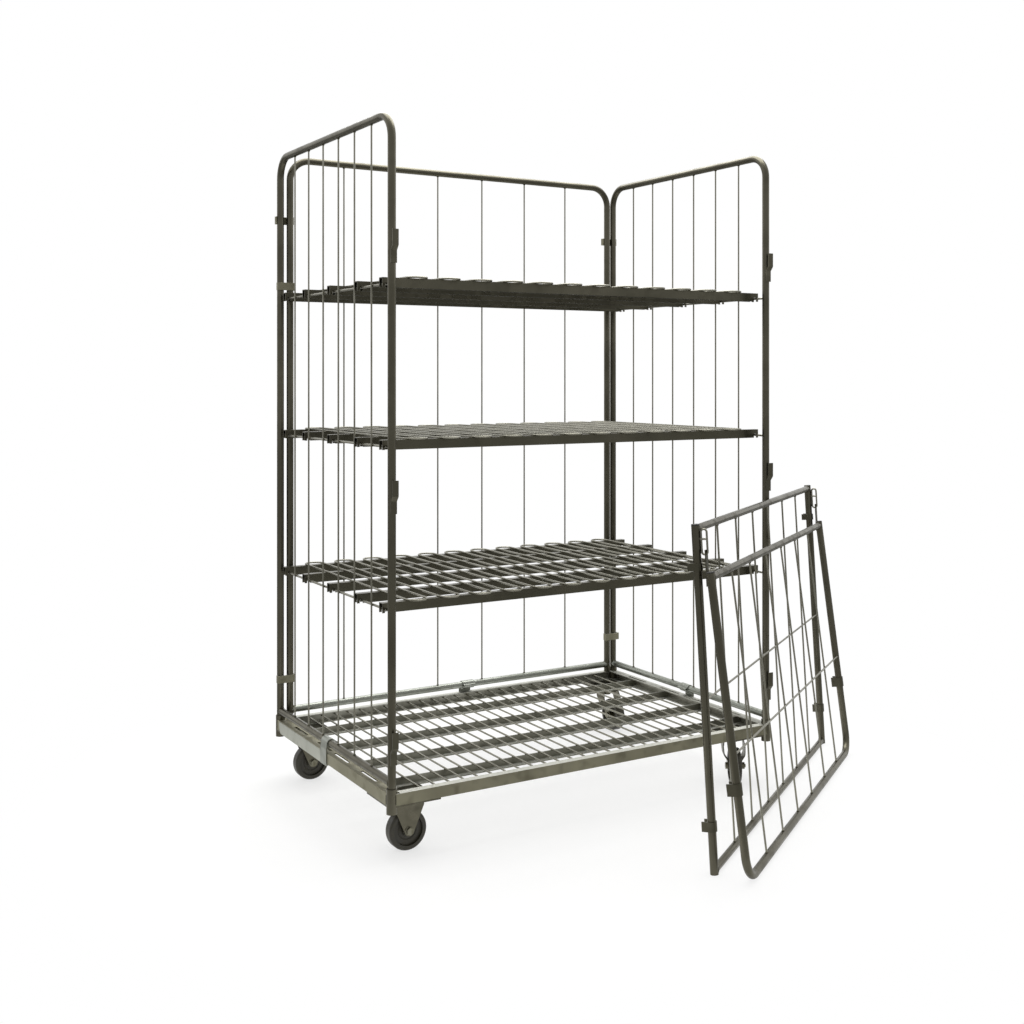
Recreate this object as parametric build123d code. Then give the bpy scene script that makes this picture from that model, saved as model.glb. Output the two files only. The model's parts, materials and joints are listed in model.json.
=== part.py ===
from build123d import *
import math
import os

# Roll container with lift-off shelves and two loose half gates, in millimetres and degrees.
# X runs to the right, Y to the back and Z up. The floor is at Z 0, and until the last section
# the container's plan centre is at X 0, Y 0.

# Container envelope
post_span_x = 1170.0
post_span_y = 770.0
container_height = 1800.0

# Tube and wire stock
tube_diameter = 20.0
tube_wall = 1.5
bend_radius = 60.0
crossbar_diameter = 19.5
panel_wire_diameter = 4.5
rung_diameter = 6.0
deck_wire_diameter = 5.0
weld_sink = 0.4

# Base rails and corner sockets
rail_height = 28.0
rail_wall = 3.0
rail_outset = 12.0
rail_edge_radius = 2.5
side_flange_width = 30.0
back_flange_width = 22.0
front_flange_width = 22.0
slot_length = 95.0
slot_width = 8.0
slot_inset = 19.0
slot_near_y = 60.0
slot_far_y = 235.0
socket_diameter = 26.0
socket_drop = 21.0
socket_rise = 11.5
socket_floor = 3.0
post_clearance = 0.5

# Deck
deck_bar_count = 4
deck_bar_pitch = 175.0
deck_bar_wall = 3.0
deck_bar_flange = 20.0
deck_wire_count = 26
deck_wire_pitch = 40.0
deck_wire_gap = 0.3
deck_wire_end_gap = 4.0

# Label plate on the left rail
label_length = 320.0
label_height = 32.0
label_thickness = 2.0
label_corner_radius = 20.0
label_start_y = 38.0

# Panels
crossbar_rise = 24.5
side_wire_count = 6
side_wire_pitch = 106.3
rung_count = 3
first_rung_z = 597.0
rung_pitch = 393.0
back_post_inset = 27.5
back_panel_inset = 4.0
back_wire_count = 6
back_wire_pitch = 155.9

# Gate hooks on the front posts
hook_width = 16.0
hook_thickness = 3.0
hook_height = 80.0
hook_flat = 30.0
hook_slope = 12.0
hook_offset = 9.5
hook_count = 3
first_hook_z = 235.0
hook_pitch = 597.5

# Corner clips between back panel and side panels
clip_height = 22.0
clip_thickness = 2.5
clip_lip = 14.0
clip_gap = 0.3
high_clip_z = 1612.0
upper_clip_z = 1420.0
lower_clip_z = 283.0

# Strap latches
latch_width = 40.0
latch_thickness = 2.5
latch_running_gap = 0.08
latch_rail_gap = 0.4
latch_under_gap = 2.0
latch_lip = 5.4
latch_neck_drop = 14.0
latch_neck_angle = 25.0
latch_eye_diameter = 8.0
latch_eye_wall = 1.5
latch_side_y = 16.0
latch_back_x = 25.0

# Casters
wheel_diameter = 100.0
wheel_width = 30.0
wheel_tread_radius = 6.0
wheel_web = 16.0
wheel_rim = 12.0
hub_diameter = 30.0
hub_width = 33.0
caster_height = 138.0
caster_inset_x = 68.0
caster_inset_y = 65.0
corner_plate_length = 137.0
corner_plate_width = 132.0
corner_plate_thickness = 4.0
fork_gap = 34.0
fork_wall = 3.0
fork_top_width = 112.0
fork_neck_width = 80.0
fork_flare = 24.0
fork_tip_radius = 13.0
axle_diameter = 10.0
axle_clearance = 0.2
sleeve_wall = 2.5
running_clearance = 0.06
bolt_head_width = 17.0
bolt_head_height = 6.4
nut_height = 8.0
bolt_tail = 3.0
thread_gap = 0.02

# Swivel heads
swivel_trail = 37.0
front_swivel_heading = -121.5
back_swivel_heading = -92.0
king_pin_diameter = 12.0
king_pin_head_diameter = 22.0
king_pin_head_height = 8.0
swivel_gap = 0.4
cup_diameter = 56.0
cup_thickness = 4.0
cup_skirt_wall = 2.5
cup_skirt_gap = 0.8
ball_diameter = 8.0
ball_gap = 0.6
ball_count = 12
ball_circle = 36.0
crown_diameter = 58.0
crown_thickness = 4.8
crown_front = 26.0
crown_back = 22.0
leg_top_y = 27.0
leg_bow_y = 31.0
leg_bow_drop = 20.0
leg_knee_drop = 42.0
leg_knee_y = 29.5
leg_bend_radius = 12.0
leg_straight = 15.0

# Shelves
shelf_bar_width = 20.0
shelf_bar_height = 24.0
shelf_bar_wall = 2.0
shelf_inner_bar_y = 182.0
shelf_outer_bar_y = 335.0
notch_depth = 11.0
notch_width = 9.0
notch_lip = 6.5
shelf_seat_gap = 0.3
loop_wire_diameter = 5.0
loop_width = 53.0
loop_count = 12
loop_pitch = 90.5
loop_overhang = 18.0
loop_end_flat = 1.0

# Gate stock, shared by both gates
gate_rail_diameter = 18.0
gate_wire_diameter = 5.0
gate_wire_count = 6
cap_thickness = 3.0
cap_plug_length = 12.0
cap_plug_gap = 0.2
strap_thickness = 2.5
strap_leg = 21.0

# Tall gate, leaning on the front right post
tall_gate_width = 1160.0
tall_gate_height = 814.5
tall_gate_rail_drop = 11.0
tall_gate_wire_pitch = 163.0
tall_gate_mid_z = 405.0
tall_gate_foot_x = 27.1
tall_gate_foot_y = -840.2
tall_gate_heading = 34.0
tall_gate_rest_gap = 0.5
low_strap_z = 100.0
low_strap_height = 23.0
high_strap_drop = 109.0
high_strap_height = 18.0
link_wire_diameter = 5.0
link_top_drop = 12.0
link_height = 59.0
link_depth = 14.0
link_gap = 0.1
link_bend_radius = 6.5
link_bar_drop = 23.0
strip_width = 16.0
strip_thickness = 3.0
strip_length = 85.0
strip_overlap = 11.0

# Short gate, leaning on the tall one
short_gate_width = 1124.0
short_gate_height = 715.4
short_gate_rail_drop = 13.0
short_gate_wire_pitch = 159.0
short_gate_mid_z = 297.0
short_gate_bend_radius = 55.0
short_gate_foot_gap = 91.6
short_gate_shift = -33.6
short_gate_turn = -0.2
short_gate_rest_gap = 3.0
short_strap_z = 205.0
short_strap_height = 28.0

# Worked-out places
post_x = post_span_x / 2
post_y = post_span_y / 2
tube_radius = tube_diameter / 2
top_tube_z = container_height - tube_radius
rail_face_x = post_x + rail_outset
rail_face_y = post_y + rail_outset
rail_bottom = caster_height
rail_top = rail_bottom + rail_height
socket_bottom = rail_bottom - socket_drop
socket_top = rail_top + socket_rise
post_foot_z = socket_bottom + socket_floor
crossbar_z = rail_top + crossbar_rise
back_post_x = post_x - back_post_inset
back_panel_y = post_y - back_panel_inset
deck_wire_z = rail_top - rail_wall - deck_wire_gap - deck_wire_diameter / 2
deck_bar_top = deck_wire_z - deck_wire_diameter / 2 + weld_sink
rung_x = post_x - panel_wire_diameter / 2 - rung_diameter / 2 + weld_sink
rung_levels = [first_rung_z + level * rung_pitch for level in range(rung_count)]
corner_plate_bottom = caster_height - corner_plate_thickness
caster_x = post_x - caster_inset_x
caster_y = post_y - caster_inset_y
axle_z = wheel_diameter / 2
sleeve_diameter = axle_diameter + 2 * thread_gap + 2 * sleeve_wall
crown_top = corner_plate_bottom - cup_thickness - ball_gap - ball_diameter
crown_bottom = crown_top - crown_thickness
high_strap_z = tall_gate_height - high_strap_drop
link_top_z = tall_gate_height - link_top_drop
link_bottom_z = link_top_z - link_height
link_bar_z = link_top_z - link_bar_drop
strip_top_z = link_bottom_z + strip_overlap
strip_bottom_z = strip_top_z - strip_length
corners = [(side, end) for side in (-1, 1) for end in (-1, 1)]


# General shapes

def block(x_span, y_span, z_span):
    """Box between two values on each axis, in either order."""
    low = Vector(min(x_span), min(y_span), min(z_span))
    high = Vector(max(x_span), max(y_span), max(z_span))
    size = high - low
    return Solid.make_box(size.X, size.Y, size.Z, Plane(low))


def rod(start, end, diameter):
    """Round bar between two points."""
    axis = Vector(*end) - Vector(*start)
    return Solid.make_cylinder(diameter / 2, axis.length, Plane(origin=start, z_dir=axis))


def tube(start, end, diameter, wall):
    """Round hollow bar between two points, open at both ends."""
    return rod(start, end, diameter) - rod(start, end, diameter - 2 * wall)


def bent_bar(points, radius, section):
    """Section carried along straight runs that are joined by tangent arcs."""
    path = FilletPolyline(*points, radius=radius)
    start = Plane(origin=path @ 0, z_dir=path % 0)
    return sweep(start * section, path=path)


def tube_section():
    """Ring that the bent frames are drawn from."""
    return Circle(tube_radius) - Circle(tube_radius - tube_wall)


def prism(points, direction, length):
    """Straight bar with a flat outline, carried along a direction."""
    return extrude(make_face(Polyline(*points, close=True)), amount=length, dir=direction)


def group(*shapes):
    """One compound that holds the separate solids of the given shapes."""
    return Compound([solid for shape in shapes for solid in shape.solids()])


def spread(count, pitch):
    """Places of a row of copies, centred on zero."""
    return [(index - (count - 1) / 2) * pitch for index in range(count)]


def tangent_point(center, radius, point, turn):
    """Point where a line from the given point touches a circle, on the side that turn says."""
    reach_x = point[0] - center[0]
    reach_z = point[1] - center[1]
    distance = math.hypot(reach_x, reach_z)
    angle = math.atan2(reach_z, reach_x) + turn * math.acos(radius / distance)
    return (center[0] + radius * math.cos(angle), center[1] + radius * math.sin(angle))


# Base

def socket_cylinders():
    """Full outside of the four corner sockets, which the rails and plates are cut to."""
    return [
        rod((side * post_x, end * post_y, socket_bottom), (side * post_x, end * post_y, socket_top),
            socket_diameter)
        for side, end in corners
    ]


def cut_to_sockets(shape):
    """Shape with the corner sockets' outsides taken out of it."""
    for cylinder in socket_cylinders():
        shape = shape - cylinder
    return shape


def corner_sockets():
    """Four closed-bottom cups that the side panel posts stand in."""
    bore = tube_diameter + 2 * post_clearance
    cups = []
    for side, end in corners:
        x, y = side * post_x, end * post_y
        cup = rod((x, y, socket_bottom), (x, y, socket_top), socket_diameter)
        cups.append(cup - rod((x, y, post_foot_z), (x, y, socket_top), bore))
    return group(*cups)


def end_rail(end, flange_width):
    """Channel across the front or the back, with both flanges turned in between the side rails."""
    outer = end * rail_face_y
    inner = outer - end * flange_width
    flange_end = rail_face_x - side_flange_width
    rail = block((-post_x, post_x), (outer, outer - end * rail_wall), (rail_bottom, rail_top))
    for low in (rail_bottom, rail_top - rail_wall):
        rail = rail + block((-flange_end, flange_end), (outer, inner), (low, low + rail_wall))
    return group(cut_to_sockets(rail))


def side_flange(side, low):
    """Flange of a side rail, from the rail's outer face inward."""
    outer = side * rail_face_x
    return block((outer, outer - side * side_flange_width), (-post_y, post_y), (low, low + rail_wall))


def side_rail(side):
    """Channel with a slotted top flange and a rounded outer edge."""
    outer = side * rail_face_x
    top = rail_top - rail_wall
    web = block((outer, outer - side * rail_wall), (-post_y, post_y), (rail_bottom, rail_top))
    rail = web + side_flange(side, top) + side_flange(side, rail_bottom)
    edges = rail.edges().filter_by(Axis.Y)
    outer_edge = edges.sort_by(lambda edge: side * edge.center().X + edge.center().Z)[-1]
    rail = fillet(outer_edge, rail_edge_radius)
    slot = extrude(SlotOverall(slot_length, slot_width, rotation=90), amount=rail_wall)
    for y in (-slot_far_y, -slot_near_y, slot_near_y, slot_far_y):
        rail = rail - Pos(outer - side * slot_inset, y, top) * slot
    return group(cut_to_sockets(rail))


def deck_bars():
    """Angle bars with their foot flange to the front, notched at both ends over the side rails' feet."""
    reach = rail_face_x - rail_wall
    bars = []
    for y in spread(deck_bar_count, deck_bar_pitch):
        back = y + deck_bar_wall / 2
        web = block((-reach, reach), (back - deck_bar_wall, back), (rail_bottom, deck_bar_top))
        foot = block((-reach, reach), (back - deck_bar_flange, back),
                     (rail_bottom, rail_bottom + deck_bar_wall))
        bars.append(web + foot - side_flange(-1, rail_bottom) - side_flange(1, rail_bottom))
    return group(*bars)


def deck_wires():
    """Wires from front to back, welded on top of the deck bars, that end under the rails' flanges."""
    reach = rail_face_y - rail_wall - deck_wire_end_gap
    return group(*[rod((x, -reach, deck_wire_z), (x, reach, deck_wire_z), deck_wire_diameter)
                   for x in spread(deck_wire_count, deck_wire_pitch)])


def corner_plates():
    """Plates under the rails that carry the casters."""
    plates = []
    for side, end in corners:
        x, y = side * rail_face_x, end * rail_face_y
        levels = (corner_plate_bottom, rail_bottom)
        plate = block((x, x - side * corner_plate_length), (y, y - end * corner_plate_width), levels)
        plate = plate - block((x, side * post_x), (y, end * post_y), levels)
        plates.append(cut_to_sockets(plate))
    return group(*plates)


def label_plate():
    """Bare plate on the outside of the left rail, with its lower back corner rounded."""
    plate = block((-rail_face_x - label_thickness, -rail_face_x),
                  (label_start_y, label_start_y + label_length), (rail_top - label_height, rail_top))
    edges = plate.edges().filter_by(Axis.X)
    lower_back = edges.sort_by(lambda edge: edge.center().Y - edge.center().Z)[-1]
    return group(fillet(lower_back, label_corner_radius))


# Panels

def post_cylinders(places, low, high):
    """Full outside of upright posts, which the bars between them are cut to."""
    return [rod((x, y, low), (x, y, high), tube_diameter) for x, y in places]


def cut_between_posts(shape, places, low, high):
    """Bar with the outsides of the posts at its ends taken out of it."""
    for cylinder in post_cylinders(places, low, high):
        shape = shape - cylinder
    return shape


def side_panel(side):
    """Bent tube frame, bottom crossbar, upright wires and shelf rungs of one side."""
    x = side * post_x
    posts = [(x, -post_y), (x, post_y)]
    frame = bent_bar([(x, -post_y, post_foot_z), (x, -post_y, top_tube_z),
                      (x, post_y, top_tube_z), (x, post_y, post_foot_z)], bend_radius, tube_section())
    crossbar = tube((x, -post_y, crossbar_z), (x, post_y, crossbar_z), crossbar_diameter, tube_wall)
    crossbar = cut_between_posts(crossbar, posts, post_foot_z, top_tube_z)
    wire_low = crossbar_z + crossbar_diameter / 2 - weld_sink
    wire_high = top_tube_z - tube_radius + weld_sink
    wires = [rod((x, y, wire_low), (x, y, wire_high), panel_wire_diameter)
             for y in spread(side_wire_count, side_wire_pitch)]
    rungs = []
    for z in rung_levels:
        rung = rod((side * rung_x, -post_y, z), (side * rung_x, post_y, z), rung_diameter)
        rungs.append(cut_between_posts(rung, posts, post_foot_z, top_tube_z))
    return {"frame": group(frame), "crossbar": group(crossbar), "wires": group(*wires),
            "rungs": group(*rungs)}


def back_panel():
    """Bent tube frame, bottom crossbar and upright wires of the back."""
    y = back_panel_y
    posts = [(-back_post_x, y), (back_post_x, y)]
    frame = bent_bar([(-back_post_x, y, rail_top), (-back_post_x, y, top_tube_z),
                      (back_post_x, y, top_tube_z), (back_post_x, y, rail_top)],
                     bend_radius, tube_section())
    crossbar = tube((-back_post_x, y, crossbar_z), (back_post_x, y, crossbar_z), crossbar_diameter,
                    tube_wall)
    crossbar = cut_between_posts(crossbar, posts, rail_top, top_tube_z)
    wire_low = crossbar_z + crossbar_diameter / 2 - weld_sink
    wire_high = top_tube_z - tube_radius + weld_sink
    wires = [rod((x, y, wire_low), (x, y, wire_high), panel_wire_diameter)
             for x in spread(back_wire_count, back_wire_pitch)]
    return {"frame": group(frame), "crossbar": group(crossbar), "wires": group(*wires)}


def gate_hooks():
    """Bent strips on the front posts that stand off to make slots open at the top."""
    face = -post_y - tube_radius + weld_sink
    hooks = []
    for side in (-1, 1):
        x = side * post_x - hook_width / 2
        for index in range(hook_count):
            low = first_hook_z + index * hook_pitch
            bend = low + hook_flat
            knee = bend + hook_slope
            top = low + hook_height
            near, far = face, face - hook_offset
            outline = [(x, near, low), (x, near, bend), (x, far, knee), (x, far, top),
                       (x, far - hook_thickness, top), (x, far - hook_thickness, knee),
                       (x, near - hook_thickness, bend), (x, near - hook_thickness, low)]
            hooks.append(prism(outline, (1, 0, 0), hook_width))
    return group(*hooks)


def corner_clip(side, z, behind):
    """Band across a side post and the back panel's post, with a lip round each."""
    if behind:
        face, outward = post_y + tube_radius - weld_sink, 1
    else:
        face, outward = back_panel_y - tube_radius + weld_sink, -1
    reach = tube_radius + clip_gap
    inner = side * (back_post_x - reach)
    outer = side * (post_x + reach)
    levels = (z - clip_height / 2, z + clip_height / 2)
    back = face + outward * clip_thickness
    band = block((inner - side * clip_thickness, outer + side * clip_thickness), (face, back), levels)
    lip_end = back - outward * clip_lip
    inner_lip = block((inner - side * clip_thickness, inner), (back, lip_end), levels)
    outer_lip = block((outer, outer + side * clip_thickness), (back, lip_end), levels)
    return band + inner_lip + outer_lip


def corner_clips():
    """Three clips on the left corner and two on the right."""
    return group(
        corner_clip(-1, high_clip_z, True), corner_clip(-1, upper_clip_z, False),
        corner_clip(-1, lower_clip_z, False), corner_clip(1, high_clip_z, True),
        corner_clip(1, lower_clip_z, False))


def strap_latch(rail_distance):
    """Strap that turns on a crossbar, drawn with the crossbar along Y at the origin and +X outward."""
    bore = crossbar_diameter / 2 + latch_running_gap
    outside = bore + latch_thickness
    strap_in = rail_distance + latch_rail_gap
    strap_out = strap_in + latch_thickness
    lip_top = rail_bottom - crossbar_z - latch_under_gap
    foot = lip_top - latch_thickness
    neck = math.radians(latch_neck_angle)
    neck_root = bore + latch_thickness / 2  # inside the wall, so the neck joins the ring at any rail distance
    eye_radius = latch_eye_diameter / 2
    eye_x = -outside - eye_radius + latch_eye_wall
    strap = Polygon((strap_in, -latch_neck_drop), (strap_in, lip_top), (strap_in - latch_lip, lip_top),
                    (strap_in - latch_lip, foot), (strap_out, foot), (strap_out, -latch_neck_drop),
                    (outside * math.cos(neck), outside * math.sin(neck)), (neck_root, 0), align=None)
    profile = Circle(outside) + strap - Circle(bore)
    eye = Pos(eye_x, 0) * (Circle(eye_radius) - Circle(eye_radius - latch_eye_wall))
    profile = profile + (eye - Circle(bore))
    return Rot(90, 0, 0) * extrude(profile, amount=latch_width / 2, both=True)


def place_latch(rail_distance, turn, place):
    """Latch turned to face out of its side and moved onto its crossbar."""
    return group(Pos(*place) * Rot(0, 0, turn) * strap_latch(rail_distance))


# Casters

def tapered_outline(top_left, top_right, tip):
    """Edges of a plate that narrows from two top points to a round tip, in XZ."""
    left = tangent_point(tip, fork_tip_radius, top_left, 1)
    right = tangent_point(tip, fork_tip_radius, top_right, -1)
    bottom = (tip[0], tip[1] - fork_tip_radius)
    return [Line(top_left, left), ThreePointArc(left, bottom, right), Line(right, top_right)]


def fork_side():
    """Fixed fork's side plate: flared at the top, tapered to a round tip, drilled for the axle."""
    half_top = fork_top_width / 2
    half_neck = fork_neck_width / 2
    top = corner_plate_bottom
    neck = top - fork_flare
    bow_x = half_top - (half_top - half_neck) * math.sqrt(0.5)
    bow_z = neck + fork_flare * math.sqrt(0.5)
    edges = tapered_outline((-half_neck, neck), (half_neck, neck), (0, axle_z))
    edges.append(ThreePointArc((half_neck, neck), (bow_x, bow_z), (half_top, top)))
    edges.append(Line((half_top, top), (-half_top, top)))
    edges.append(ThreePointArc((-half_top, top), (-bow_x, bow_z), (-half_neck, neck)))
    hole = Pos(0, axle_z) * Circle(axle_diameter / 2 + axle_clearance)
    return extrude(Plane.XZ * (make_face(edges) - hole), amount=fork_wall)


def fixed_fork(end):
    """Bracket of a fixed caster: two side plates under a top plate."""
    outer = fork_gap / 2 + fork_wall
    half_top = fork_top_width / 2
    top = block((-half_top, half_top), (-outer, outer), (corner_plate_bottom - fork_wall,
                                                         corner_plate_bottom))
    side = fork_side()
    fork = top + Pos(0, -fork_gap / 2, 0) * side + Pos(0, outer, 0) * side
    return group(Pos(-caster_x, end * caster_y, 0) * fork)


def axle_bolt():
    """Hexagon bolt with its head on the -Y side, and its nut, on an axle along Y."""
    face = fork_gap / 2 + fork_wall
    tip = face + nut_height + bolt_tail
    shank = rod((0, -face, axle_z), (0, tip, axle_z), axle_diameter)
    hexagon = RegularPolygon(bolt_head_width / 2, 6, major_radius=False)
    head_plane = Plane(origin=(0, -face, axle_z), z_dir=(0, -1, 0))
    head = extrude(head_plane * hexagon, amount=bolt_head_height)
    nut_plane = Plane(origin=(0, face, axle_z), z_dir=(0, 1, 0))
    nut_ring = hexagon - Circle(axle_diameter / 2 + thread_gap)
    nut = extrude(nut_plane * nut_ring, amount=nut_height)
    return [shank + head, nut]


def axle_sleeve():
    """Tube round the bolt, clamped between the fork's sides, that the wheel turns on."""
    return tube((0, -fork_gap / 2, axle_z), (0, fork_gap / 2, axle_z), sleeve_diameter, sleeve_wall)


def wheel():
    """One moulded wheel: hub, thinner web and rounded tread, on an axle along Y."""
    bore = sleeve_diameter / 2 + running_clearance
    outside = wheel_diameter / 2
    rim = outside - wheel_rim
    half = [(bore, hub_width / 2), (hub_diameter / 2, hub_width / 2), (hub_diameter / 2, wheel_web / 2),
            (rim, wheel_web / 2), (rim, wheel_width / 2), (outside, wheel_width / 2)]
    mirrored = [(radius, -y) for radius, y in reversed(half)]
    section = make_face(Polyline(*half, *mirrored, close=True))
    tread_corners = section.vertices().sort_by(Axis.X)[-2:]
    section = fillet(tread_corners, wheel_tread_radius)
    return Pos(0, 0, axle_z) * revolve(section, Axis.Y)


def swivel_leg():
    """One bowed leg of a swivel fork on the +Y side, with the caster trailing along +X."""
    leg_y = fork_gap / 2 + fork_wall / 2
    knee_z = crown_top - leg_knee_drop
    bow = FilletPolyline((leg_top_y, crown_top), (leg_bow_y, crown_top - leg_bow_drop),
                         (leg_knee_y, knee_z), (leg_y, axle_z + leg_straight),
                         (leg_y, axle_z - fork_tip_radius), radius=leg_bend_radius)
    strip = extrude(Plane.YZ * trace(bow, line_width=fork_wall), amount=crown_diameter + swivel_trail,
                    both=True)
    edges = tapered_outline((-crown_back, crown_bottom), (crown_front, crown_bottom),
                            (swivel_trail, axle_z))
    edges.append(Line((crown_front, crown_bottom), (crown_front, crown_top)))
    edges.append(Line((crown_front, crown_top), (-crown_back, crown_top)))
    edges.append(Line((-crown_back, crown_top), (-crown_back, crown_bottom)))
    side_view = extrude(Plane.XZ * make_face(edges), amount=-crown_diameter)
    hole = rod((swivel_trail, 0, axle_z), (swivel_trail, crown_diameter, axle_z),
               axle_diameter + 2 * axle_clearance)
    return (strip & side_view) - hole


def swivel_fork():
    """Round crown plate with two bowed legs."""
    crown = rod((0, 0, crown_bottom), (0, 0, crown_top), crown_diameter)
    leg = swivel_leg()
    fork = crown + leg + mirror(leg, about=Plane.XZ)
    pin_hole = king_pin_diameter / 2 + running_clearance
    return fork - rod((0, 0, crown_bottom), (0, 0, crown_top), 2 * pin_hole)


def king_pin():
    """Pin under the corner plate that the fork's crown turns on, with its head below the crown."""
    head_top = crown_bottom - swivel_gap
    head_bottom = head_top - king_pin_head_height
    shank = rod((0, 0, head_bottom), (0, 0, corner_plate_bottom), king_pin_diameter)
    return shank + rod((0, 0, head_bottom), (0, 0, head_top), king_pin_head_diameter)


def bearing_cup():
    """Cup under the corner plate whose skirt covers the ring of balls."""
    skirt_bottom = crown_top + cup_skirt_gap
    cup = rod((0, 0, skirt_bottom), (0, 0, corner_plate_bottom), cup_diameter)
    hollow = rod((0, 0, skirt_bottom), (0, 0, corner_plate_bottom - cup_thickness),
                 cup_diameter - 2 * cup_skirt_wall)
    pin_hole = king_pin_diameter + 2 * post_clearance
    return cup - hollow - rod((0, 0, skirt_bottom), (0, 0, corner_plate_bottom), pin_hole)


def bearing_balls():
    """Ring of balls that run on the crown."""
    turn = 360.0 / ball_count
    ball = Pos(ball_circle / 2, 0, crown_top + ball_diameter / 2) * Sphere(ball_diameter / 2)
    return [Rot(0, 0, index * turn) * ball for index in range(ball_count)]


def swivel_place(end, heading):
    """Place and heading of a swivel caster on the right side."""
    return Pos(caster_x, end * caster_y, 0) * Rot(0, 0, heading)


def swivel_caster(end, heading):
    """Fork, axle, sleeve, balls and wheel of one swivel caster."""
    head = swivel_place(end, heading)
    axle = head * Pos(swivel_trail, 0, 0)
    return {"fork": group(head * swivel_fork()), "axle": group(*[axle * piece for piece in axle_bolt()]),
            "sleeve": group(axle * axle_sleeve()),
            "balls": group(*[head * ball for ball in bearing_balls()]), "wheel": group(axle * wheel())}


# Shelves

def shelf_bars(level):
    """Channel bars, open below, with a notch near each end that drops over a rung."""
    bottom = level + rung_diameter / 2 + shelf_seat_gap - notch_depth
    top = bottom + shelf_bar_height
    reach = rung_x + notch_width / 2 + notch_lip
    notch_levels = (bottom, bottom + notch_depth)
    half = shelf_bar_width / 2
    bars = []
    for y in (-shelf_outer_bar_y, -shelf_inner_bar_y, 0, shelf_inner_bar_y, shelf_outer_bar_y):
        bar = block((-reach, reach), (y - half, y + half), (bottom, top))
        bar = bar - block((-reach, reach), (y - half + shelf_bar_wall, y + half - shelf_bar_wall),
                          (bottom, top - shelf_bar_wall))
        for side in (-1, 1):
            x = side * rung_x
            bar = bar - block((x - notch_width / 2, x + notch_width / 2), (y - half, y + half),
                              notch_levels)
        bars.append(bar)
    return group(*bars)


def shelf_loop():
    """Closed flat wire loop along Y, centred on the origin."""
    half = loop_width / 2
    tip = shelf_outer_bar_y + shelf_bar_width / 2 + loop_overhang
    points = [(-half, 0, 0), (-half, tip, 0), (half, tip, 0), (half, 0, 0)]
    back = bent_bar(points, half - loop_end_flat / 2, Circle(loop_wire_diameter / 2))
    return back + mirror(back, about=Plane.XZ)


def shelf_loops(level):
    """Row of wire loops welded on top of a shelf's bars."""
    top = level + rung_diameter / 2 + shelf_seat_gap - notch_depth + shelf_bar_height
    z = top + loop_wire_diameter / 2 - weld_sink
    loop = shelf_loop()
    return group(*[Pos(x, 0, z) * loop for x in spread(loop_count, loop_pitch)])


# Gates, each drawn with its left upright on the Z axis, its width along X and its front to -Y

def gate_caps(width, height):
    """Plastic plugs that close the tops of both uprights."""
    tube_top = height - cap_thickness
    plug = tube_diameter - 2 * tube_wall - 2 * cap_plug_gap
    caps = []
    for x in (0, width):
        cap = rod((x, 0, tube_top), (x, 0, height), tube_diameter)
        top_edge = cap.edges().sort_by(Axis.Z)[-1]
        cap = fillet(top_edge, cap_thickness / 2)
        caps.append(cap + rod((x, 0, tube_top - cap_plug_length), (x, 0, tube_top), plug))
    return caps


def gate_rail(width, height, z):
    """Tube between both uprights, with its ends cut to them."""
    rail = tube((0, 0, z), (width, 0, z), gate_rail_diameter, tube_wall)
    return cut_between_posts(rail, [(0, 0), (width, 0)], 0, height)


def gate_wires(width, height, pitch, low, high, mid_z):
    """Upright wires between the rails and one level wire across their front."""
    wires = [rod((width / 2 + x, 0, low - weld_sink), (width / 2 + x, 0, high + weld_sink),
                 gate_wire_diameter) for x in spread(gate_wire_count, pitch)]
    level = rod((0, -gate_wire_diameter, mid_z), (width, -gate_wire_diameter, mid_z), gate_wire_diameter)
    wires.append(cut_between_posts(level, [(0, 0), (width, 0)], 0, height))
    return wires


def gate_straps(width, low, height):
    """Sheet straps bent round the front of both uprights, with both legs out past the back."""
    inside = tube_radius - weld_sink
    outside = tube_radius + strap_thickness
    legs = Pos(0, strap_leg / 2)
    outer = Circle(outside) + legs * Rectangle(2 * outside, strap_leg)
    inner = Circle(inside) + legs * Rectangle(2 * inside, strap_leg)
    return [Pos(x, 0, low) * extrude(outer - inner, amount=height) for x in (0, width)]


def tall_gate():
    """Pieces of the tall gate before it is leaned."""
    width, height = tall_gate_width, tall_gate_height
    tube_top = height - cap_thickness
    low_rail_z = gate_rail_diameter / 2
    high_rail_z = height - tall_gate_rail_drop
    uprights = [tube((x, 0, 0), (x, 0, tube_top), tube_diameter, tube_wall) for x in (0, width)]
    rails = [gate_rail(width, height, z) for z in (low_rail_z, high_rail_z)]
    wires = gate_wires(width, height, tall_gate_wire_pitch, low_rail_z + gate_rail_diameter / 2,
                       high_rail_z - gate_rail_diameter / 2, tall_gate_mid_z)
    straps = (gate_straps(width, low_strap_z, low_strap_height)
              + gate_straps(width, high_strap_z, high_strap_height))
    weld = -tube_radius + weld_sink
    near = -tube_radius - link_gap - link_wire_diameter / 2
    far = near - link_depth
    strip_y = far + link_wire_diameter / 2 - weld_sink
    link_mid = (link_bottom_z + link_top_z) / 2
    links, strips = [], []
    for x in (0, width):
        points = [(x, near, link_mid), (x, near, link_top_z), (x, far, link_top_z), (x, far, link_mid)]
        upper = bent_bar(points, link_bend_radius, Circle(link_wire_diameter / 2))
        loop = upper + mirror(upper, about=Plane.XY.offset(link_mid))
        links.append(loop + rod((x, weld, link_bar_z), (x, far, link_bar_z), link_wire_diameter))
        strips.append(block((x - strip_width / 2, x + strip_width / 2),
                            (strip_y, strip_y + strip_thickness), (strip_bottom_z, strip_top_z)))
    return {"frame": group(*uprights, *rails), "wires": group(*wires),
            "caps": group(*gate_caps(width, height)), "straps": group(*straps), "links": group(*links),
            "strips": group(*strips)}


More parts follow.
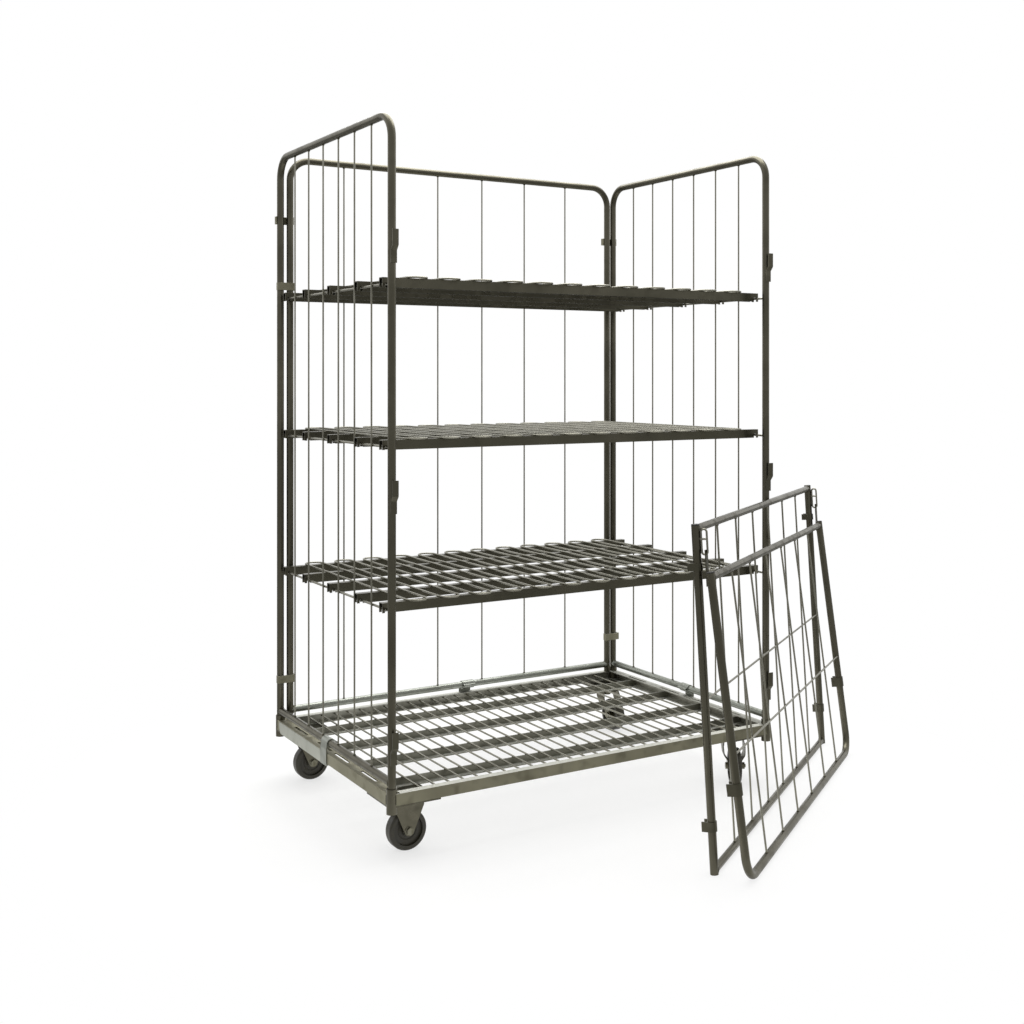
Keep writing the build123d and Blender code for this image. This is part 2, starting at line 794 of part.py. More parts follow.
def short_gate():
    """Pieces of the short gate before it is leaned."""
    width, height = short_gate_width, short_gate_height
    tube_top = height - cap_thickness
    rail_z = height - short_gate_rail_drop
    frame = bent_bar([(0, 0, tube_top), (0, 0, tube_radius), (width, 0, tube_radius),
                      (width, 0, tube_top)], short_gate_bend_radius, tube_section())
    wires = gate_wires(width, height, short_gate_wire_pitch, tube_diameter,
                       rail_z - gate_rail_diameter / 2, short_gate_mid_z)
    straps = gate_straps(width, short_strap_z, short_strap_height)
    return {"frame": group(frame, gate_rail(width, height, rail_z)), "wires": group(*wires),
            "caps": group(*gate_caps(width, height)), "straps": group(*straps)}


def heading_vectors(heading):
    """Unit vectors along a gate's foot and out of its front."""
    angle = math.radians(heading)
    return Vector(math.cos(angle), math.sin(angle), 0), Vector(math.sin(angle), -math.cos(angle), 0)


def tall_gate_lean():
    """Lean at which the top rail just clears the front right post."""
    outward = heading_vectors(tall_gate_heading)[1]
    foot = Vector(tall_gate_foot_x, tall_gate_foot_y, 0)
    distance = (foot - Vector(post_x, -post_y, 0)).dot(outward)
    rail_height_up = tall_gate_height - tall_gate_rail_drop
    free = distance - tube_radius - gate_rail_diameter / 2 - tall_gate_rest_gap
    return math.degrees(math.asin(free / rail_height_up))


def short_gate_lean():
    """Lean at which the short gate's top just clears the tall gate's links, or its uprights below them."""
    rail_height_up = short_gate_height - short_gate_rail_drop
    reach = tube_radius
    if rail_height_up > strip_bottom_z:
        reach += link_gap + link_wire_diameter + link_depth
    top_gap = reach + tube_radius + short_gate_rest_gap
    behind = rail_height_up * math.sin(math.radians(tall_gate_lean()))
    return math.degrees(math.asin((short_gate_foot_gap + behind - top_gap) / rail_height_up))


def lean_gate(pieces, foot, heading, lean):
    """Gate turned to its heading, leaned back and set down on the floor."""
    place = Pos(foot.X, foot.Y, 0) * Rot(0, 0, heading) * Rot(-lean, 0, 0)
    lowest = (place * pieces["frame"]).bounding_box().min.Z
    place = Pos(0, 0, -lowest) * place
    return {name: place * shape for name, shape in pieces.items()}


# Assembly

nodes = {
    "front_rail": end_rail(-1, front_flange_width),
    "back_rail": end_rail(1, back_flange_width),
    "left_rail": side_rail(-1),
    "right_rail": side_rail(1),
    "corner_sockets": corner_sockets(),
    "deck_bars": deck_bars(),
    "deck_wires": deck_wires(),
    "caster_plates": corner_plates(),
    "label_plate": label_plate(),
    "gate_hooks": gate_hooks(),
    "corner_clips": corner_clips(),
}

for panel, pieces in (("left", side_panel(-1)), ("right", side_panel(1)), ("back", back_panel())):
    for piece, shape in pieces.items():
        nodes[f"{panel}_panel_{piece}"] = shape

nodes["left_latch"] = place_latch(rail_outset, 180, (-post_x, latch_side_y, crossbar_z))
nodes["right_latch"] = place_latch(rail_outset, 0, (post_x, -latch_side_y, crossbar_z))
nodes["back_latch"] = place_latch(rail_face_y - back_panel_y, 90,
                                  (latch_back_x, back_panel_y, crossbar_z))

fixed_axles, fixed_sleeves, king_pins, bearing_cups = [], [], [], []
for name, end, heading in (("front", -1, front_swivel_heading), ("back", 1, back_swivel_heading)):
    fixed = Pos(-caster_x, end * caster_y, 0)
    nodes[f"{name}_left_fork"] = fixed_fork(end)
    nodes[f"{name}_left_wheel"] = group(fixed * wheel())
    fixed_axles.extend(fixed * piece for piece in axle_bolt())
    fixed_sleeves.append(fixed * axle_sleeve())
    head = Pos(caster_x, end * caster_y, 0)
    king_pins.append(head * king_pin())
    bearing_cups.append(head * bearing_cup())
    for piece, shape in swivel_caster(end, heading).items():
        nodes[f"{name}_right_{piece}"] = shape
nodes["fixed_axles"] = group(*fixed_axles)
nodes["fixed_sleeves"] = group(*fixed_sleeves)
nodes["king_pins"] = group(*king_pins)
nodes["bearing_cups"] = group(*bearing_cups)

for name, level in zip(("lower", "middle", "upper"), rung_levels):
    nodes[f"{name}_shelf_bars"] = shelf_bars(level)
    nodes[f"{name}_shelf_loops"] = shelf_loops(level)

along, outward = heading_vectors(tall_gate_heading)
tall_foot = Vector(tall_gate_foot_x, tall_gate_foot_y, 0)
short_foot = tall_foot + along * short_gate_shift + outward * short_gate_foot_gap
short_heading = tall_gate_heading + short_gate_turn
for name, pieces in (
        ("tall", lean_gate(tall_gate(), tall_foot, tall_gate_heading, tall_gate_lean())),
        ("short", lean_gate(short_gate(), short_foot, short_heading, short_gate_lean()))):
    for piece, shape in pieces.items():
        nodes[f"{name}_gate_{piece}"] = shape

# The origin is on the floor, under the middle of the whole set
extent = group(*nodes.values()).bounding_box()
to_origin = Pos(-extent.center().X, -extent.center().Y, 0)

os.makedirs("parts", exist_ok=True)
for name, shape in nodes.items():
    export_step(to_origin * shape, f"parts/{name}.step")
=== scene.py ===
"""Roll container: the finishes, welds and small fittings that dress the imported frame."""
import json
import logging
import math
from dataclasses import dataclass, field
from enum import Enum
from typing import Any, Sequence

import bpy
import numpy as np
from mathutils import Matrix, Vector
from numpy.typing import NDArray


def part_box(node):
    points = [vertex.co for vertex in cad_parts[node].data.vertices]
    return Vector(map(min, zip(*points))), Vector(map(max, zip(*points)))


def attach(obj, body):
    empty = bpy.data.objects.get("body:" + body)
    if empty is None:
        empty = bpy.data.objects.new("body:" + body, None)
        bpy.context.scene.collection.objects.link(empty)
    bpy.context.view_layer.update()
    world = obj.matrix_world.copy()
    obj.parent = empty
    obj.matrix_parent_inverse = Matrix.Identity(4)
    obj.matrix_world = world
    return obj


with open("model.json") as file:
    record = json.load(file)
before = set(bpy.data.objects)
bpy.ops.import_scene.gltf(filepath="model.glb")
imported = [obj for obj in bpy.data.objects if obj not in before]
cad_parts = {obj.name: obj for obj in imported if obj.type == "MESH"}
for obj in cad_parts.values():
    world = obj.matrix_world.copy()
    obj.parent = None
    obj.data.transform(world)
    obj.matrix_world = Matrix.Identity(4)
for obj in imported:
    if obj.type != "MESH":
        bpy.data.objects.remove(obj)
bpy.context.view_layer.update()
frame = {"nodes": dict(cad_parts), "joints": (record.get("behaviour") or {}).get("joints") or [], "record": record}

Array = NDArray[np.float64]
LOG = logging.getLogger("roll_container")
MM = 0.001
ROOT = "container"
RIPPLE_SHARE = 0.12  # swelling of a weld's ripples, as a share of its radius
RIPPLE_POINTS = 4  # points along a weld for each ripple
NOISE_LOW, NOISE_HIGH = 0.3, 0.7  # range that a noise texture mostly keeps to
BEVEL_SAMPLES = 4


# Reading the frame

def span(node: str) -> tuple[Array, Array]:
    """Box of a CAD node.

    Args:
        node: Name of the node.

    Returns:
        Its lowest and highest corner, in metres.
    """
    low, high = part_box(node)
    return np.array(low), np.array(high)


def points_of(node: str) -> Array:
    """All corner points of a CAD node's mesh, as rows of x, y and z in metres."""
    mesh = frame["nodes"][node].data
    flat = np.empty(3 * len(mesh.vertices), np.float32)
    mesh.vertices.foreach_get("co", flat)
    return flat.reshape(-1, 3).astype(float)


def joint(name: str) -> dict[str, Any]:
    """Record of the joint with the given name."""
    return next(entry for entry in frame["joints"] if entry["name"] == name)


def centres(values: Array, gap: float) -> Array:
    """Middles of the clusters in a list of places.

    Args:
        values: Places along one axis, in any order.
        gap: Empty distance that parts one cluster from the next.

    Returns:
        Middle of each cluster, from low to high.
    """
    ordered = np.sort(values)
    parts = np.split(ordered, np.flatnonzero(np.diff(ordered) > gap) + 1)
    return np.array([(part[0] + part[-1]) / 2 for part in parts])


# Surfaces

@dataclass
class Surface:
    """Closed form: points in metres, four-sided faces and the triangles that close its ends."""

    points: Array
    quads: NDArray[np.int64]
    triangles: NDArray[np.int64] = field(default_factory=lambda: np.empty((0, 3), np.int64))

    def copies(self, turns: Array, places: Array) -> "Surface":
        """Form repeated once for each turn and place: every point is turned, then moved.

        Args:
            turns: One 3 by 3 turn for each copy.
            places: One point for each copy.

        Returns:
            All copies as one surface.
        """
        moved = np.einsum("kij,nj->kni", turns, self.points) + places[:, None, :]
        first = (np.arange(len(places)) * len(self.points))[:, None, None]
        return Surface(moved.reshape(-1, 3), (self.quads + first).reshape(-1, 4),
                       (self.triangles + first).reshape(-1, 3))


def join(surfaces: Sequence[Surface]) -> Surface:
    """Several surfaces as one, with the face numbers moved on."""
    first = np.cumsum([0] + [len(surface.points) for surface in surfaces[:-1]])
    return Surface(np.concatenate([surface.points for surface in surfaces]),
                   np.concatenate([surface.quads + start for surface, start in zip(surfaces, first)]),
                   np.concatenate([surface.triangles + start for surface, start in zip(surfaces, first)]))


def grid_quads(rows: int, columns: int, closed_rows: bool) -> NDArray[np.int64]:
    """Faces of a grid of points whose columns close on themselves.

    Args:
        rows: Points along the first direction.
        columns: Points round the second direction.
        closed_rows: Whether the last row joins the first.

    Returns:
        Four point numbers for each face, turning the same way.
    """
    row, column = np.meshgrid(np.arange(rows if closed_rows else rows - 1), np.arange(columns), indexing="ij")
    after, beside = (row + 1) % rows, (column + 1) % columns
    corners = (row * columns + column, row * columns + beside,
               after * columns + beside, after * columns + column)
    return np.stack(corners, axis=-1).reshape(-1, 4)


def ring(middle: float, radial: float, axial: float, around: int = 12, across: int = 6) -> Surface:
    """Ring round Z: an ellipse, offset from the axis by the middle radius and carried round it.

    Args:
        middle: Radius of the ellipse's centre.
        radial: Half width of the ellipse.
        axial: Half height of the ellipse.
        around: Points round the axis.
        across: Points round the ellipse.

    Returns:
        The closed ring.
    """
    turn, roll = np.meshgrid(np.linspace(0, math.tau, around, endpoint=False),
                             np.linspace(0, math.tau, across, endpoint=False), indexing="ij")
    reach = middle + radial * np.cos(roll)
    points = np.stack([reach * np.cos(turn), reach * np.sin(turn), axial * np.sin(roll)], axis=-1)
    return Surface(points.reshape(-1, 3), grid_quads(around, across, True)[:, ::-1])


def capped(rings: Array) -> Surface:
    """Skin over a stack of rings whose first and last ring shrink to a point each."""
    rows, columns = rings.shape[:2]
    inner = rings[1:-1].reshape(-1, 3)
    quads = grid_quads(rows - 2, columns, False)
    here = np.arange(columns)
    beside = (here + 1) % columns
    last = (rows - 3) * columns
    start, end = len(inner), len(inner) + 1
    first_cap = np.stack([np.full(columns, start), beside, here], axis=-1)
    last_cap = np.stack([np.full(columns, end), last + here, last + beside], axis=-1)
    return Surface(np.concatenate([inner, rings[0, :1], rings[-1, :1]]), quads,
                   np.concatenate([first_cap, last_cap]))


def nugget(half: Sequence[float], around: int = 8, rows: int = 5) -> Surface:
    """Spot weld: an ellipsoid with the given half sizes, from its lower pole to its upper one."""
    rise, turn = np.meshgrid(np.linspace(-math.pi / 2, math.pi / 2, rows),
                             np.linspace(0, math.tau, around, endpoint=False), indexing="ij")
    points = np.stack([half[0] * np.cos(rise) * np.cos(turn), half[1] * np.cos(rise) * np.sin(turn),
                       half[2] * np.sin(rise)], axis=-1)
    return capped(points)


def bead(length: float, radius: float, ripples: int, around: int = 8, bluntness: int = 8) -> Surface:
    """Straight weld along Z: a circle whose radius swells into ripples and rounds off to nothing at the ends.

    The rounding is the root of 1 less the share of the half length to the power of the bluntness.

    Args:
        length: Length of the weld.
        radius: Radius of its middle.
        ripples: Number of swellings, one for each dab of the torch.
        around: Points round the circle.
        bluntness: How late the ends start to round off.

    Returns:
        The closed bead, centred on the origin.
    """
    along = np.linspace(-1, 1, RIPPLE_POINTS * ripples + 3)
    swell = 1 + RIPPLE_SHARE * np.cos(math.pi * ripples * along)
    body = np.sqrt(np.clip(1 - along ** bluntness, 0, 1)) * swell
    share, turn = np.meshgrid(along, np.linspace(0, math.tau, around, endpoint=False), indexing="ij")
    reach = radius * body[:, None]
    points = np.stack([reach * np.cos(turn), reach * np.sin(turn), share * length / 2], axis=-1)
    return capped(points)


def saddle_weld(bar_radius: float, post_radius: float, bead_radius: float, around: int = 48,
                across: int = 8) -> Surface:
    """Weld where a bar along X butts a post along Z: a rippled circle carried along the line where both meet.

    The line runs round the bar. Its x is the root of the post radius squared less the bar's y squared.

    Args:
        bar_radius: Outside radius of the bar.
        post_radius: Outside radius of the post.
        bead_radius: Radius of the weld.
        around: Points along the line.
        across: Points round the circle.

    Returns:
        The closed weld for a bar that leaves the post, on the origin, towards +X.
    """
    turn = np.linspace(0, math.tau, around, endpoint=False)
    y, z = bar_radius * np.cos(turn), bar_radius * np.sin(turn)
    line = np.stack([np.sqrt(post_radius ** 2 - y ** 2), y, z], axis=-1)
    tangent = np.roll(line, -1, axis=0) - np.roll(line, 1, axis=0)
    tangent /= np.linalg.norm(tangent, axis=1, keepdims=True)
    outward = np.stack([np.zeros(around), np.cos(turn), np.sin(turn)], axis=-1)
    sideways = np.cross(tangent, outward)
    sideways /= np.linalg.norm(sideways, axis=1, keepdims=True)
    outward = np.cross(sideways, tangent)
    roll = np.linspace(0, math.tau, across, endpoint=False)
    reach = bead_radius * (1 + RIPPLE_SHARE * np.cos(around / RIPPLE_POINTS * turn))[:, None, None]
    points = line[:, None, :] + reach * (np.cos(roll)[None, :, None] * outward[:, None, :]
                                         + np.sin(roll)[None, :, None] * sideways[:, None, :])
    return Surface(points.reshape(-1, 3), grid_quads(around, across, True))


def facing(axes: Array, steep: float = 0.9) -> Array:
    """Turns that carry +Z onto each given axis.

    Args:
        axes: Unit vectors, one a row.
        steep: Upward share from which an axis is set off against X and not against Z.

    Returns:
        One 3 by 3 turn a row.
    """
    axes = np.asarray(axes, float)
    helper = np.where(np.abs(axes[:, 2:]) < steep, [[0.0, 0.0, 1.0]], [[1.0, 0.0, 0.0]])
    first = np.cross(helper, axes)
    first /= np.linalg.norm(first, axis=1, keepdims=True)
    return np.stack([first, np.cross(axes, first), axes], axis=-1)


def plain_turns(count: int) -> Array:
    """Turns that leave copies as they are."""
    return np.broadcast_to(np.eye(3), (count, 3, 3))


@dataclass(frozen=True)
class Placement:
    """Turn from a panel's own axes, x along, y through and z up, to the frame's."""

    turn: Array

    @classmethod
    def headed(cls, heading: float, lean: float) -> "Placement":
        """Placement that leans a panel back and then turns it about Z.

        Args:
            heading: Turn about Z, in radians.
            lean: Lean towards +Y before the turn, in radians.

        Returns:
            The placement.
        """
        cos_h, sin_h, cos_l, sin_l = math.cos(heading), math.sin(heading), math.cos(lean), math.sin(lean)
        about_z = np.array([[cos_h, -sin_h, 0], [sin_h, cos_h, 0], [0, 0, 1]])
        about_x = np.array([[1, 0, 0], [0, cos_l, sin_l], [0, -sin_l, cos_l]])
        return cls(about_z @ about_x)

    def own(self, points: Array) -> Array:
        """Points of the frame in the panel's own axes."""
        return points @ self.turn

    def carry(self, surface: Surface) -> Surface:
        """Surface of the panel's own axes, in the frame's."""
        return Surface(surface.points @ self.turn.T, surface.quads, surface.triangles)


# Finishes

def linear(code: str) -> tuple[float, float, float, float]:
    """Colour of an sRGB hex code in linear light, with full alpha."""
    levels = np.array([int(code[start:start + 2], 16) for start in (1, 3, 5)]) / 255
    values = np.where(levels <= 0.04045, levels / 12.92, ((levels + 0.055) / 1.055) ** 2.4)
    return (*values.tolist(), 1.0)


def per_metre(size_mm: float) -> float:
    """Texture scale at which one feature is about the given size."""
    return 1 / (size_mm * MM)


def add(tree: bpy.types.NodeTree, kind: str, settings: dict[str, Any] | None = None,
        **inputs: Any) -> bpy.types.Node:
    """Node with its settings and its inputs.

    Args:
        tree: Node tree that gets the node.
        kind: Blender's name of the node.
        settings: Properties of the node.
        **inputs: Socket name, with _ for a space or i and a number for a place, and a socket or a value.

    Returns:
        The node.
    """
    node = tree.nodes.new(kind)
    for name, value in (settings or {}).items():
        setattr(node, name, value)
    for name, value in inputs.items():
        place = int(name[1:]) if name[0] == "i" and name[1:].isdigit() else name.replace("_", " ")
        if isinstance(value, bpy.types.NodeSocket):
            tree.links.new(value, node.inputs[place])
        else:
            node.inputs[place].default_value = value
    return node


def blank_material(name: str) -> tuple[bpy.types.Material, bpy.types.NodeTree]:
    """New material with an empty node tree."""
    material = bpy.data.materials.new(name)
    material.use_nodes = True
    material.node_tree.nodes.clear()
    return material, material.node_tree


@dataclass(frozen=True)
class MetalFinish:
    """Plated or bare metal: soft clouds in colour and gloss, a little grime, shallow dents and rounded edges.

    Where a top colour is given, faces that look up take it: partly wear from goods and feet, partly painted top
    light standing in for light from above.
    """

    name: str
    pale: str
    dark: str
    grime: str
    gloss: float
    haze: float
    cloud_mm: float = 120.0
    grime_mm: float = 30.0
    edge_mm: float = 0.0
    grime_share: float = 0.15
    grime_from: float = 0.5
    grime_to: float = 0.75
    detail: float = 1.0
    dent_mm: float = 0.3
    # Paler colour of faces that look up, part wear and part painted top light, and how much of it they take
    rubbed: str = ""
    rubbed_share: float = 0.85
    level_from: float = 0.5
    level_to: float = 0.9

    def build(self) -> bpy.types.Material:
        """Material of the finish."""
        material, tree = blank_material(self.name)
        place = add(tree, "ShaderNodeTexCoord")
        where = place.outputs["Object"]
        cloud = add(tree, "ShaderNodeTexNoise", Vector=where, Scale=per_metre(self.cloud_mm),
                    Detail=self.detail)
        spots = add(tree, "ShaderNodeTexNoise", Vector=where, Scale=per_metre(self.grime_mm),
                    Detail=self.detail)
        sheen = add(tree, "ShaderNodeMapRange", Value=cloud.outputs["Fac"], From_Min=NOISE_LOW,
                    From_Max=NOISE_HIGH)
        dirt = add(tree, "ShaderNodeMapRange", Value=spots.outputs["Fac"], From_Min=self.grime_from,
                   From_Max=self.grime_to, To_Max=self.grime_share)
        metal = add(tree, "ShaderNodeMix", {"data_type": "RGBA"}, i0=sheen.outputs[0], i6=linear(self.dark),
                    i7=linear(self.pale))
        soiled = add(tree, "ShaderNodeMix", {"data_type": "RGBA"}, i0=dirt.outputs[0], i6=metal.outputs[2],
                     i7=linear(self.grime))
        tone = soiled.outputs[2]
        # Painted top light mixed with wear: faces whose normal looks up are mixed towards a paler colour
        if self.rubbed:
            up = add(tree, "ShaderNodeSeparateXYZ", Vector=place.outputs["Normal"])
            level = add(tree, "ShaderNodeMapRange", Value=up.outputs["Z"], From_Min=self.level_from,
                        From_Max=self.level_to, To_Max=self.rubbed_share)
            tone = add(tree, "ShaderNodeMix", {"data_type": "RGBA"}, i0=level.outputs[0], i6=tone,
                       i7=linear(self.rubbed)).outputs[2]
        clean = add(tree, "ShaderNodeMapRange", Value=cloud.outputs["Fac"], From_Min=NOISE_LOW,
                    From_Max=NOISE_HIGH, To_Min=self.haze, To_Max=self.gloss)
        dull = add(tree, "ShaderNodeMath", {"operation": "ADD"}, i0=clean.outputs[0], i1=dirt.outputs[0])
        relief = add(tree, "ShaderNodeBump", Height=spots.outputs["Fac"], Distance=self.dent_mm * MM)
        if self.edge_mm > 0:
            edge = add(tree, "ShaderNodeBevel", {"samples": BEVEL_SAMPLES}, Radius=self.edge_mm * MM)
            tree.links.new(edge.outputs[0], relief.inputs["Normal"])
        shader = add(tree, "ShaderNodeBsdfPrincipled", Base_Color=tone, Metallic=1.0,
                     Roughness=dull.outputs[0], Normal=relief.outputs[0])
        add(tree, "ShaderNodeOutputMaterial", Surface=shader.outputs[0])
        return material


@dataclass(frozen=True)
class PlasticFinish:
    """Moulded plastic: near-black, with scuffs, dust and a fine moulded skin."""

    name: str
    body: str
    scuff: str
    roughness: float
    scuff_mm: float = 9.0
    scuff_from: float = 0.45
    scuff_to: float = 0.75
    scuff_share: float = 0.6
    scuff_detail: float = 5.0
    polish: float = 0.08
    dulling: float = 0.14
    skin_mm: float = 0.9
    skin_depth_mm: float = 0.03
    skin_strength: float = 0.5
    skin_detail: float = 2.0
    edge_mm: float = 0.6
    ior: float = 1.53

    def build(self) -> bpy.types.Material:
        """Material of the finish."""
        material, tree = blank_material(self.name)
        where = add(tree, "ShaderNodeTexCoord").outputs["Object"]
        wear = add(tree, "ShaderNodeTexNoise", Vector=where, Scale=per_metre(self.scuff_mm),
                   Detail=self.scuff_detail)
        skin = add(tree, "ShaderNodeTexNoise", Vector=where, Scale=per_metre(self.skin_mm),
                   Detail=self.skin_detail)
        worn = add(tree, "ShaderNodeMapRange", Value=wear.outputs["Fac"], From_Min=self.scuff_from,
                   From_Max=self.scuff_to, To_Max=self.scuff_share)
        tone = add(tree, "ShaderNodeMix", {"data_type": "RGBA"}, i0=worn.outputs[0], i6=linear(self.body),
                   i7=linear(self.scuff))
        rough = add(tree, "ShaderNodeMapRange", Value=wear.outputs["Fac"], From_Min=NOISE_LOW,
                    From_Max=NOISE_HIGH, To_Min=self.roughness - self.polish,
                    To_Max=self.roughness + self.dulling)
        edge = add(tree, "ShaderNodeBevel", {"samples": BEVEL_SAMPLES}, Radius=self.edge_mm * MM)
        relief = add(tree, "ShaderNodeBump", Height=skin.outputs["Fac"], Normal=edge.outputs[0],
                     Strength=self.skin_strength, Distance=self.skin_depth_mm * MM)
        shader = add(tree, "ShaderNodeBsdfPrincipled", Base_Color=tone.outputs[2], Roughness=rough.outputs[0],
                     Normal=relief.outputs[0], IOR=self.ior)
        add(tree, "ShaderNodeOutputMaterial", Surface=shader.outputs[0])
        return material


class Finish(Enum):
    """Finishes of the roll container: the record's slots, the welds, and what wear or painted light sets apart."""

    # Drawn tube, plated with zinc and passivated olive: a smooth, dark grey-green that mirrors softly
    ZINC_TUBE = MetalFinish("olive_zinc_drawn_tube", "#6a675a", "#5c594d", "#464338", 0.24, 0.32)
    # Drawn wire in the same bath: thinner plating, so a paler grey
    ZINC_WIRE = MetalFinish("olive_zinc_drawn_wire", "#9a988c", "#8a887b", "#69675c", 0.22, 0.32,
                            cloud_mm=60.0)
    # Pressed sheet in the same bath: a little browner, with handling marks
    ZINC_SHEET = MetalFinish("satin_zinc_pressed_sheet", "#666356", "#58564a", "#434035", 0.24, 0.34,
                             grime_share=0.2, edge_mm=0.5)
    # The same sheet under foot and goods: rubbed dull and paler; palest on top, partly wear and partly painted top
    # light
    WORN_SHEET = MetalFinish("worn_zinc_pressed_sheet", "#918e7a", "#817e6c", "#646050", 0.5, 0.62,
                             grime_share=0.2, edge_mm=0.5, rubbed="#d4d4cc")
    # The same sheet beside the deck, out of the way of goods: dull, and paler all over as painted light falling on
    # the left side; not rubbed pale on top
    DUSTY_SHEET = MetalFinish("left_lit_zinc_pressed_sheet", "#a29f8b", "#928f7c", "#716d5b", 0.5, 0.62,
                              grime_share=0.2, edge_mm=0.5)
    # Bars and straps at the deck's edge, plated without the olive tint: a bluish grey, rubbed satin
    BRIGHT_ZINC = MetalFinish("bright_zinc_plated_steel", "#a0a39b", "#90938a", "#716f65", 0.34, 0.44)
    # Galvanised sheet of the deck: matt and soiled by goods; pale where it lies level, partly wear and partly
    # painted top light
    DECK_SHEET = MetalFinish("galvanised_deck_sheet", "#96958a", "#868579", "#68665b", 0.5, 0.62,
                             grime_share=0.2, edge_mm=0.5, rubbed="#b6b6ae")
    # Galvanised sheet of the rails behind the deck: matt, and paler than the deck's sheet as painted light on
    # their inner faces; tops paler still, partly wear and partly painted top light
    RAIL_SHEET = MetalFinish("galvanised_rail_sheet", "#b2b1a7", "#a2a196", "#807e70", 0.5, 0.62,
                             grime_share=0.2, edge_mm=0.5, rubbed="#c6c6be")
    # Galvanised strip: pale grey and matt, with soft clouds where the zinc froze
    GALVANISED_PLATE = MetalFinish("galvanised_strip", "#bec0b6", "#aeb0a6", "#918e82", 0.42, 0.52,
                                   edge_mm=0.5)
    # Cold-formed bolts and nuts, zinc plated: small, bright and worn on the corners
    FASTENER_STEEL = MetalFinish("zinc_plated_fastener_steel", "#7f7d70", "#696655", "#484538", 0.28, 0.40,
                                 cloud_mm=12.0)
    # Ground and polished bearing steel: a clean mirror
    BEARING_STEEL = MetalFinish("polished_bearing_steel", "#c9c9c7", "#b5b5b2", "#77756c", 0.10, 0.18,
                                cloud_mm=8.0, grime_share=0.05)
    # Arc weld plated over with zinc: grey and rough, darker where the heat went
    WELD_METAL = MetalFinish("plated_arc_weld", "#605e51", "#4d4b3e", "#38362c", 0.36, 0.52, cloud_mm=7.0,
                             grime_mm=5.0)
    # Moulded black nylon: satin, scuffed grey where it rolls
    WHEEL_NYLON = PlasticFinish("moulded_black_nylon", "#2c291c", "#403c2d", 0.42)
    # Moulded polyethylene caps: matt black
    CAP_PLASTIC = PlasticFinish("moulded_black_polyethylene", "#211f1a", "#35332b", 0.5, scuff_mm=6.0)


# Nodes that wear, another plating or painted light sets apart from the rest of their slot
NODE_FINISHES: dict[str, Finish] = {
    "front_rail": Finish.WORN_SHEET,
    "corner_clips": Finish.WORN_SHEET,
    "left_rail": Finish.DUSTY_SHEET,
    "deck_bars": Finish.DECK_SHEET,
    "back_rail": Finish.RAIL_SHEET,
    "right_rail": Finish.RAIL_SHEET,
    "right_panel_crossbar": Finish.BRIGHT_ZINC,
    "back_panel_crossbar": Finish.BRIGHT_ZINC,
    "left_latch": Finish.BRIGHT_ZINC,
    "right_latch": Finish.BRIGHT_ZINC,
    "back_latch": Finish.BRIGHT_ZINC,
}


class Workshop:
    """Builds each finish once, dresses the CAD nodes and turns surfaces into pieces."""

    def __init__(self) -> None:
        """Start with every finish built and nothing made."""
        self.materials = {finish: finish.value.build() for finish in Finish}

    def dress(self, node: str, finish: Finish) -> None:
        """Give a CAD node its finish."""
        data = frame["nodes"][node].data
        data.materials.clear()
        data.materials.append(self.materials[finish])
        LOG.info("node %s: %s", node, finish.value.name)

    def dress_by_record(self) -> None:
        """Give every CAD node its own finish, or else that of its slot in the record."""
        for part in frame["record"]["subparts"]:
            node, slot = part["node"], part["material_slot"]
            self.dress(node, NODE_FINISHES.get(node, Finish[slot.upper()]))

    def piece(self, name: str, surface: Surface, finish: Finish, body: str, slot: str) -> None:
        """New piece that rides on a body.

        Args:
            name: Name of the piece.
            surface: Its shape in the frame.
            finish: Its finish.
            body: Body that carries it.
            slot: Slot of the record that it would count under; not used.
        """
        mesh = bpy.data.meshes.new(name)
        mesh.from_pydata(surface.points.tolist(), [], surface.quads.tolist() + surface.triangles.tolist())
        mesh.polygons.foreach_set("use_smooth", np.ones(len(mesh.polygons), bool))
        mesh.materials.append(self.materials[finish])
        mesh.update()
        item = bpy.data.objects.new(name, mesh)
        bpy.context.scene.collection.objects.link(item)
        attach(item, body)
        LOG.info("piece %s on %s: %d faces", name, body, len(mesh.polygons))


# Sub-assemblies

